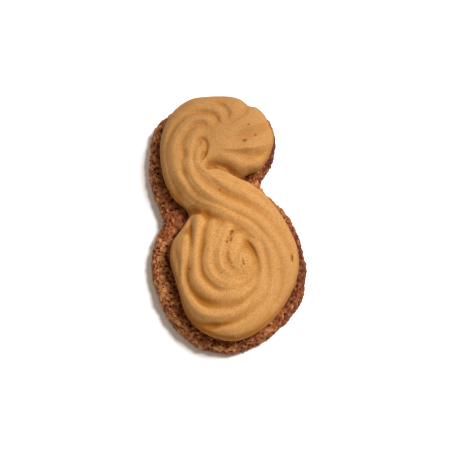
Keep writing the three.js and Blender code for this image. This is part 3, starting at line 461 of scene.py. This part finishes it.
def spokes(path, fan, side, notches):
    """Edge points and their partners on the spine: a fan round each end and stations along both
    sides, shared out by each side's own length below and above its notch, so none cross."""
    line = Line(path, closed=True)
    low, high = np.array(SPINE)
    axis = high - low
    share = lambda p: (p - low) @ axis / (axis @ axis)
    at_start, at_end = share(line.a), share(line.a + line.u)

    def arc_at(t, rising):
        crosses = (at_start <= t) & (t < at_end) if rising else (at_end <= t) & (t < at_start)
        i = np.argmax(crosses)
        return line.start[i] + line.chord[i] * (t - at_start[i]) / (at_end[i] - at_start[i])

    def side_table(notch, rising):
        p = np.array(notch[:2])
        middle = line.nearest(p[:1], p[1:])[1][0]
        return (0, share(p), 1), (arc_at(0, rising), middle, arc_at(1, rising))

    right = side_table(notches[0], True)
    left = side_table(notches[1], False)
    fine = np.linspace(0, 1, 2001)
    step = np.maximum(np.diff(np.interp(fine, *right)), -np.diff(np.interp(fine, *left)))
    need = np.concatenate([[0], np.cumsum(step)])
    stations = np.interp(np.linspace(0, need[-1], side + 1), need, fine)
    around = lambda start, end: start + (end - start) * np.arange(fan) / fan
    arcs = np.concatenate([
        around(left[1][0], right[1][0] + line.length), np.interp(stations[:-1], *right),
        around(right[1][2], left[1][2]), np.interp(stations[:0:-1], *left),
    ])
    along = np.concatenate([np.zeros(fan), stations[:-1], np.ones(fan), stations[:0:-1]])
    return line.at(arcs % line.length), low + axis * along[:, None]


def inward(edge):
    """Unit vectors square to a counterclockwise edge, pointing into it."""
    u = np.roll(edge, -1, axis=0) - np.roll(edge, 1, axis=0)
    n = np.stack([-u[:, 1], u[:, 0]], axis=1)
    return n / np.hypot(n[:, 0], n[:, 1])[:, None]


def closed_mesh(name, rings, spine_low=None, spine_high=None):
    """Skin over a stack of rings, closed at either end on its points of the spine or by one face."""
    count, around = rings.shape[:2]
    points = rings.reshape(-1, 3)
    index = np.arange(count * around).reshape(count, around)
    a, d = index[:-1], index[1:]
    b, c = np.roll(a, -1, axis=1), np.roll(d, -1, axis=1)
    faces = np.stack([a, b, c, d], axis=-1).reshape(-1, 4).tolist()
    for seam, ring, outward in ((spine_low, index[0], False), (spine_high, index[-1], True)):
        if seam is None:
            faces.append(ring[::-1].tolist())
            continue
        _, first, place = np.unique(seam.round(5), axis=0, return_index=True, return_inverse=True)
        place = place.ravel() + len(points)
        points = np.vstack([points, seam[first]])
        p, q = place, np.roll(place, -1)
        i, j = ring, np.roll(ring, -1)
        same = p == q
        quads = np.stack([i, j, q, p] if outward else [j, i, p, q], axis=1)[~same]
        tips = np.stack([i, j, q] if outward else [j, i, p], axis=1)[same]
        faces += quads.tolist() + tips.tolist()
    mesh = bpy.data.meshes.new(name)
    mesh.from_pydata(points * MM, [], faces)
    mesh.polygons.foreach_set("use_smooth", np.ones(len(faces), bool))
    mesh.update()
    return mesh


def place(name, mesh, material, node, slot):
    """Makes the piece, gives it its material, and lets it ride and stand for its CAD node."""
    piece = bpy.data.objects.new(name, mesh)
    bpy.context.scene.collection.objects.link(piece)
    mesh.materials.append(material)
    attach(piece, "root")
    if node:
        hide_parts(node)
    return piece


def linear(code, alpha=1.0):
    """A linear colour from an sRGB hex code."""
    c = np.array([int(code[i:i + 2], 16) for i in (1, 3, 5)]) / 255
    c = np.where(c <= 0.04045, c / 12.92, ((c + 0.055) / 1.055) ** 2.4)
    return (*c.tolist(), alpha)


def add(tree, kind, settings=None, links=None):
    """Adds a node; settings are its properties or sockets, links are sockets fed by other sockets."""
    node = tree.nodes.new(kind)
    for key, value in (settings or {}).items():
        if isinstance(key, int) or key in node.inputs:
            node.inputs[key].default_value = value
        else:
            setattr(node, key, value)
    for key, source in (links or {}).items():
        tree.links.new(source, node.inputs[key])
    return node


def new_material(name):
    """An empty material with its tree and shader."""
    material = bpy.data.materials.new(name)
    material.use_nodes = True
    tree = material.node_tree
    return material, tree, tree.nodes["Principled BSDF"]


# Whipped nut cream, left to set: matt, a little greasy, with air bubbles as fine as dust. Painted shade
# deepens its colour in hollows and on the skirt under its widest line.
CREAM_PALE = "#b9884f"
CREAM_DULL = "#a57947"
CREAM_PAINTED_SHADE = "#935b18"
# Painted shade colour, for hollows and the skirt
CREAM_PORE = "#7d4a16"


def whipped_cream():
    material, tree, shader = new_material("whipped_nut_cream_piped")
    where = add(tree, "ShaderNodeTexCoord").outputs["Object"]
    spot = add(tree, "ShaderNodeSeparateXYZ", None, {0: where})
    cloud = add(tree, "ShaderNodeTexNoise", {"Scale": 1 / (6 * MM), "Detail": 4.0, "Roughness": 0.6},
                {"Vector": where})
    # The cream's colour turns duller toward the top and the right of the plan
    upper = add(tree, "ShaderNodeMapRange", {"From Min": 4 * MM, "From Max": 26 * MM},
                {"Value": spot.outputs[1]})
    right = add(tree, "ShaderNodeMapRange", {"From Min": 5 * MM, "From Max": 20 * MM, "To Max": 0.8},
                {"Value": spot.outputs[0]})
    toward_upper_right = add(tree, "ShaderNodeMath", {"operation": "MAXIMUM"}, {0: upper.outputs[0], 1: right.outputs[0]})
    skin = add(tree, "ShaderNodeMix", {"data_type": "RGBA", 6: linear(CREAM_PALE), 7: linear(CREAM_DULL)},
               {0: toward_upper_right.outputs[0]})
    # Painted shade: the hollow measure, with a little cloud noise, mixes in the shaded colour, less of it
    # toward the top and right
    hollow = add(tree, "ShaderNodeAttribute", {"attribute_name": "hollow"})
    shade_and_cloud = add(tree, "ShaderNodeMath", {"operation": "MULTIPLY_ADD", 1: 0.25, "use_clamp": True},
                {0: cloud.outputs[0], 2: hollow.outputs["Fac"]})
    depth = add(tree, "ShaderNodeMapRange", {"From Min": 0.54, "From Max": 0.96}, {"Value": shade_and_cloud.outputs[0]})
    shade_weight = add(tree, "ShaderNodeMath", {"operation": "MULTIPLY_ADD", 1: -0.55, 2: 1.0}, {0: toward_upper_right.outputs[0]})
    painted_shade = add(tree, "ShaderNodeMath", {"operation": "MULTIPLY"}, {0: depth.outputs[0], 1: shade_weight.outputs[0]})
    tone = add(tree, "ShaderNodeMix", {"data_type": "RGBA", 7: linear(CREAM_PAINTED_SHADE)},
               {0: painted_shade.outputs[0], 6: skin.outputs[2]})
    grain = add(tree, "ShaderNodeTexNoise", {"Scale": 1 / (0.32 * MM), "Detail": 2.0}, {"Vector": where})
    speck = add(tree, "ShaderNodeMapRange", {"From Min": 0.42, "From Max": 0.74, "To Max": 0.65},
                {"Value": grain.outputs[0]})
    colour = add(tree, "ShaderNodeMix", {"data_type": "RGBA", 7: linear(CREAM_PORE)},
                 {0: speck.outputs[0], 6: tone.outputs[2]})
    bump = add(tree, "ShaderNodeBump", {"Strength": 0.6, "Distance": 0.12 * MM}, {"Height": grain.outputs[0]})
    tree.links.new(colour.outputs[2], shader.inputs["Base Color"])
    tree.links.new(bump.outputs[0], shader.inputs["Normal"])
    shader.inputs["Roughness"].default_value = 0.75
    shader.inputs["Specular IOR Level"].default_value = 0.12
    return material


def hollows(level, seam):
    """How far each point of a ring grid lies below its neighbourhood: blurred level less own level.
    The last ring lies on the spine, where the points with the same seam number are one point."""
    blurred = level.copy()
    shared = np.bincount(seam)
    for _ in range(HOLLOW_BLUR):
        blurred = (np.roll(blurred, 1, axis=1) + 2 * blurred + np.roll(blurred, -1, axis=1)) / 4
        padded = np.vstack([blurred[:1], blurred, blurred[-1:]])
        blurred = (padded[:-2] + 2 * blurred + padded[2:]) / 4
        blurred[-1] = (np.bincount(seam, blurred[-1]) / shared)[seam]
    return np.clip(0.5 + (blurred - level) / HOLLOW_RANGE, 0, 1)


def cream_mesh():
    """Undercut rings from the foot up to the widest level, then rings toward the spine."""
    edge, spine = spokes(cream_path, FAN_POINTS, SIDE_POINTS, NOTCHES)
    a = np.linspace(math.pi / 2, 0, UNDERCUT_RINGS, endpoint=False)[:, None, None]
    below = edge + FOOT_UNDERCUT * (1 - np.cos(a)) * inward(edge)
    rim = rim_level(edge[:, 0], edge[:, 1])
    level = rim[:, None] - (rim[:, None] - CREAM_FOOT) * np.sin(a)
    rings = [np.concatenate([below, level], axis=-1)]
    for share in (np.arange(CREAM_RINGS) / CREAM_RINGS) ** RING_CROWDING:
        xy = edge + (spine - edge) * share
        z = cream_height(xy[:, 0], xy[:, 1]) if share > 0 else rim
        rings.append(np.column_stack([xy, z])[None])
    seam = np.column_stack([spine, cream_height(spine[:, 0], spine[:, 1])])
    grid = np.concatenate(rings)
    mesh = closed_mesh("piped_cream", grid, spine_high=seam)
    _, first, number = np.unique(seam.round(5), axis=0, return_index=True, return_inverse=True)
    # Painted shade: points below their neighbourhood and the undercut skirt get the shaded colour
    hollow = hollows(np.vstack([grid[UNDERCUT_RINGS:, :, 2], seam[:, 2]]), number.ravel())
    skirt_shade = np.full(UNDERCUT_RINGS * len(edge), 0.9)
    values = np.concatenate([skirt_shade, hollow[:-1].ravel(), hollow[-1, first]]).astype(np.float32)
    mesh.attributes.new("hollow", "FLOAT", "POINT").data.foreach_set("value", values)
    return mesh


place("piped_cream", cream_mesh(), whipped_cream(), "piped_swirl", "cream")


# ---- biscuit: a baked slab of cocoa and ground nuts, coarse, dry and full of open holes ----
# It is spooned out by hand, so its rim is lumpy; the cream sits on its flat top.
SLAB_HEIGHT = 6.5
# Found like CREAM_EDGE, but the end hidden under the upper lobe is a guess.
SLAB_EDGE = (
    (-0.5, -41.1), (5.3, -39.7), (10.5, -36.8), (16.0, -32.6), (20.6, -27.3), (22.9, -20.0),
    (23.2, -12.0), (21.6, -3.4), (18.3, 3.3), (14.2, 8.5), (12.7, 12.4), (14.9, 15.9),
    (17.9, 20.9), (19.1, 27.2), (18.6, 32.0), (15.8, 36.3), (11.5, 38.9), (7.0, 40.4),
    (0.0, 41.1), (-7.0, 40.8), (-13.7, 38.6), (-17.6, 35.6), (-19.6, 30.0), (-20.8, 23.0),
    (-21.0, 15.0), (-19.6, 9.3), (-18.2, 2.5), (-20.6, -2.0), (-22.8, -8.5), (-23.2, -14.0),
    (-21.9, -21.1), (-19.5, -28.4), (-16.0, -34.0), (-11.0, -38.4), (-5.8, -40.5),
)
RIM_PROFILE = ((1.1, 0.0), (0.4, 0.5), (0.0, 1.7), (0.1, 3.3), (0.5, 4.7), (1.2, 5.6), (2.3, 6.1), (3.6, 6.3),
               (5.2, 6.35), (7.0, 6.4), (9.0, 6.45))
RIM_STEPS = 6
SLAB_FAN = 230
SLAB_SIDE = 270
LUMPS = ((2.6, 0.32), (1.1, 0.26), (0.6, 0.26), (0.35, 0.16))     # spacing and height
HOLE_SPACING = 1.0
HOLE_RADIUS = (0.15, 0.55)
HOLE_DEPTH = 0.80
CREAM_SHADE_REACH = 1.5                # mm out from the cream over which painted shade darkens the biscuit
# Patches of the rim painted darker as shade: middle, half sizes, how much darker.
SHADED_RIM_PATCHES = ((24.0, -10.0, 5.0, 20.0, 0.34), (18.0, -31.0, 8.0, 8.0, 0.16), (-16.0, 0.0, 5.0, 5.0, 0.22),
           (20.0, 22.0, 5.0, 13.0, 0.30))
CRUST_DARK = "#4a1b0a"
CRUST_BROWN = "#8a4c24"
CRUST_PALE = "#b38153"


def biscuit_mesh():
    """The rim's profile carried round the plan edge, then pushed along its normals by lumps and holes."""
    edge, spine = spokes(curve(SLAB_EDGE, True, 8), SLAB_FAN, SLAB_SIDE, NOTCHES)
    profile = curve(RIM_PROFILE, False, RIM_STEPS)
    xy = edge + profile[:, None, :1] * inward(edge)
    rings = np.concatenate([xy, profile[:, None, 1:] + 0 * xy[..., :1]], axis=-1)
    across = np.gradient(rings, axis=0)
    along = np.roll(rings, -1, axis=1) - np.roll(rings, 1, axis=1)
    normal = np.cross(along, across)
    normal /= np.linalg.norm(normal, axis=-1, keepdims=True)
    points = rings.reshape(-1, 3)
    lumps = [size * noise(*(points / spacing).T, 41 + i) for i, (spacing, size) in enumerate(LUMPS)]
    hollow = holes(points, HOLE_SPACING, HOLE_RADIUS, 7)
    rested = smooth(0.0, 1.2, points[:, 2])
    push = (sum(lumps) - HOLE_DEPTH * hollow) * rested
    moved = points + push[:, None] * normal.reshape(-1, 3)
    moved[:, 2] = np.clip(moved[:, 2], 0, SLAB_HEIGHT + 0.6)
    rings = moved.reshape(rings.shape)
    under = np.column_stack([spine, np.zeros(len(spine))])
    over = np.column_stack([spine, np.full(len(spine), SLAB_HEIGHT)])
    mesh = closed_mesh("cocoa_biscuit", rings, under, over)
    depth = np.zeros(len(mesh.vertices), np.float32)
    # Painted shade on the biscuit next to the cream's foot
    cream_foot_shade = np.exp(-(cream_edge.nearest(points[:, 0], points[:, 1])[0] / CREAM_SHADE_REACH) ** 2)
    # Painted shade on the listed rim patches
    patch_shade = sum(more * np.exp(-((points[:, 0] - px) / rx) ** 2 - ((points[:, 1] - py) / ry) ** 2)
                  for px, py, rx, ry, more in SHADED_RIM_PATCHES)
    # Pale on raised lumps, partly pale crumb and partly painted highlight, with painted shade in the open
    # holes
    lumps_pale_holes_shaded = 0.9 * sum(lumps[1:]) - 0.8 * HOLE_DEPTH * hollow
    # The crust's colour value, with painted highlight on lumps and painted shade in holes, by the cream and
    # on the patches
    depth[:len(points)] = np.clip(0.50 + lumps_pale_holes_shaded - 0.16 * cream_foot_shade - patch_shade, 0, 1)
    mesh.attributes.new("crust_light_and_shade", "FLOAT", "POINT").data.foreach_set("value", depth)
    return mesh


def baked_crust():
    material, tree, shader = new_material("cocoa_nut_biscuit_baked")
    where = add(tree, "ShaderNodeTexCoord").outputs["Object"]
    crust_light_and_shade = add(tree, "ShaderNodeAttribute", {"attribute_name": "crust_light_and_shade"})
    cloud = add(tree, "ShaderNodeTexNoise", {"Scale": 1 / (0.5 * MM), "Detail": 4.0, "Roughness": 0.7},
                {"Vector": where})
    mixed = add(tree, "ShaderNodeMath", {"operation": "MULTIPLY_ADD", 1: 0.55},
                {0: cloud.outputs[0], 2: crust_light_and_shade.outputs["Fac"]})
    # Low values give the dark colour of painted shade, high values the pale colour of lumps
    ramp = add(tree, "ShaderNodeValToRGB", None, {0: mixed.outputs[0]})
    stops = ramp.color_ramp.elements
    stops[0].position, stops[0].color = 0.35, linear(CRUST_DARK)
    stops[1].position, stops[1].color = 1.00, linear(CRUST_PALE)
    middle = stops.new(0.72)
    middle.color = linear(CRUST_BROWN)
    crumb = add(tree, "ShaderNodeTexNoise", {"Scale": 1 / (0.35 * MM), "Detail": 3.0}, {"Vector": where})
    bump = add(tree, "ShaderNodeBump", {"Strength": 0.8, "Distance": 0.25 * MM}, {"Height": crumb.outputs[0]})
    tree.links.new(ramp.outputs[0], shader.inputs["Base Color"])
    tree.links.new(bump.outputs[0], shader.inputs["Normal"])
    shader.inputs["Roughness"].default_value = 0.85
    shader.inputs["Specular IOR Level"].default_value = 0.25
    return material


place("cocoa_biscuit", biscuit_mesh(), baked_crust(), "biscuit_base", "biscuit")


# ---- crumbs: bits of the biscuit, half sunk in its rim and stuck to the foot of the cream ----
# Rounded, broken grains of half a millimetre or so, paler than the crust they came off.
CRUMB_COUNT = 90
CRUMB_RADIUS = (0.22, 0.50)
CRUMB_INSET = (0.9, 4.2)
STUCK_CRUMBS = (
    (-1.2, -39.0, 0.34), (-0.3, -39.2, 0.26), (0.6, -39.1, 0.30), (2.1, -38.6, 0.22),
    (-16.3, -11.6, 0.26), (-16.1, -14.2, 0.32), (-16.7, -13.0, 0.22), (-16.0, -15.6, 0.20),
)
GRAIN_AROUND = 7
GRAIN_RINGS = 4
CRUMB_TAN = "#c08650"
CRUMB_BROWN = "#7a4120"


def crumb_mesh():
    """Small closed lumps: rings of a ball, each point pushed in or out, at the places drawn for them."""
    draw = np.random.default_rng(5)
    path = Line(curve(SLAB_EDGE, True, 8), closed=True)
    arcs = draw.uniform(0, path.length, CRUMB_COUNT)
    foot = path.at(arcs)
    ahead = path.at((arcs + 0.5) % path.length) - foot
    square = np.stack([-ahead[:, 1], ahead[:, 0]], axis=1) / np.hypot(ahead[:, 0], ahead[:, 1])[:, None]
    inset = draw.uniform(*CRUMB_INSET, CRUMB_COUNT)
    rim = foot + inset[:, None] * square
    rim_z = np.interp(inset, *np.array(RIM_PROFILE[3:]).T) - 0.1
    stuck = np.array(STUCK_CRUMBS)
    stuck_z = cream_height(stuck[:, 0], stuck[:, 1])
    middles = np.vstack([np.column_stack([rim, rim_z]), np.column_stack([stuck[:, :2], stuck_z])])
    sizes = np.concatenate([draw.uniform(*CRUMB_RADIUS, CRUMB_COUNT), stuck[:, 2]])
    turn = np.arange(GRAIN_AROUND) * 2 * math.pi / GRAIN_AROUND
    tilt = np.linspace(0, math.pi, GRAIN_RINGS + 2)[1:-1, None]
    ball = np.stack([np.sin(tilt) * np.cos(turn), np.sin(tilt) * np.sin(turn),
                     np.cos(tilt) + 0 * turn], axis=-1)
    ball = np.vstack([[[0, 0, 1]], ball.reshape(-1, 3), [[0, 0, -1]]])
    grid = 1 + np.arange(GRAIN_RINGS * GRAIN_AROUND).reshape(GRAIN_RINGS, GRAIN_AROUND)
    after = np.roll(grid, -1, axis=1)
    sides = np.stack([grid[:-1], grid[1:], after[1:], after[:-1]], axis=-1).reshape(-1, 4).tolist()
    top = np.stack([0 * grid[0], grid[0], after[0]], axis=-1).tolist()
    bottom = np.stack([0 * grid[-1] + len(ball) - 1, after[-1], grid[-1]], axis=-1).tolist()
    cell = sides + top + bottom
    bumps = draw.uniform(0.65, 1.15, (len(sizes), len(ball), 1)) * sizes[:, None, None]
    points = middles[:, None] + ball * bumps
    faces = [[v + k * len(ball) for v in face] for k in range(len(sizes)) for face in cell]
    mesh = bpy.data.meshes.new("crumbs")
    mesh.from_pydata(points.reshape(-1, 3) * MM, [], faces)
    mesh.polygons.foreach_set("use_smooth", np.ones(len(faces), bool))
    mesh.update()
    return mesh


def broken_crumb():
    material, tree, shader = new_material("cocoa_nut_crumb_broken")
    where = add(tree, "ShaderNodeTexCoord").outputs["Object"]
    patch = add(tree, "ShaderNodeTexNoise", {"Scale": 1 / (0.9 * MM), "Detail": 3.0}, {"Vector": where})
    share = add(tree, "ShaderNodeMapRange", {"From Min": 0.35, "From Max": 0.65}, {"Value": patch.outputs[0]})
    tone = add(tree, "ShaderNodeMix", {"data_type": "RGBA", 6: linear(CRUMB_BROWN), 7: linear(CRUMB_TAN)},
               {0: share.outputs[0]})
    bump = add(tree, "ShaderNodeBump", {"Strength": 0.5, "Distance": 0.1 * MM}, {"Height": patch.outputs[0]})
    tree.links.new(tone.outputs[2], shader.inputs["Base Color"])
    tree.links.new(bump.outputs[0], shader.inputs["Normal"])
    shader.inputs["Roughness"].default_value = 0.9
    shader.inputs["Specular IOR Level"].default_value = 0.2
    return material


place("crumbs", crumb_mesh(), broken_crumb(), None, "biscuit")


# ---- floor and light: a pale table, one large soft lamp to the upper right, and a bright room ----
FLOOR_HALF = 1.5
FLOOR_COLOUR = "#f4f4f4"
LAMP_PLACE = Vector((0.411, 0.095, 0.761))
LAMP_SIDE = 0.25
LAMP_POWER = 11.0
ROOM_STRENGTH = 0.42
ROOM_COLOUR = "#fff1e0"

corners = [(-FLOOR_HALF, -FLOOR_HALF, 0), (FLOOR_HALF, -FLOOR_HALF, 0),
           (FLOOR_HALF, FLOOR_HALF, 0), (-FLOOR_HALF, FLOOR_HALF, 0)]
table = bpy.data.meshes.new("table")
table.from_pydata(corners, [], [(0, 1, 2, 3)])
table_paint, _, table_shader = new_material("painted_board")
table_shader.inputs["Base Color"].default_value = linear(FLOOR_COLOUR)
table_shader.inputs["Roughness"].default_value = 0.9
table.materials.append(table_paint)
floor = bpy.data.objects.new("floor", table)
bpy.context.scene.collection.objects.link(floor)

lamp = bpy.data.lights.new("soft_lamp", "AREA")
lamp.energy = LAMP_POWER
lamp.size = LAMP_SIDE
soft_lamp = bpy.data.objects.new("soft_lamp", lamp)
soft_lamp.location = LAMP_PLACE
soft_lamp.rotation_euler = (-LAMP_PLACE).to_track_quat("-Z", "Y").to_euler()
bpy.context.scene.collection.objects.link(soft_lamp)

room = bpy.data.worlds.new("room")
room.use_nodes = True
room.node_tree.nodes["Background"].inputs["Color"].default_value = linear(ROOM_COLOUR)
room.node_tree.nodes["Background"].inputs["Strength"].default_value = ROOM_STRENGTH
bpy.context.scene.world = room
bpy.context.scene.view_settings.view_transform = "Standard"
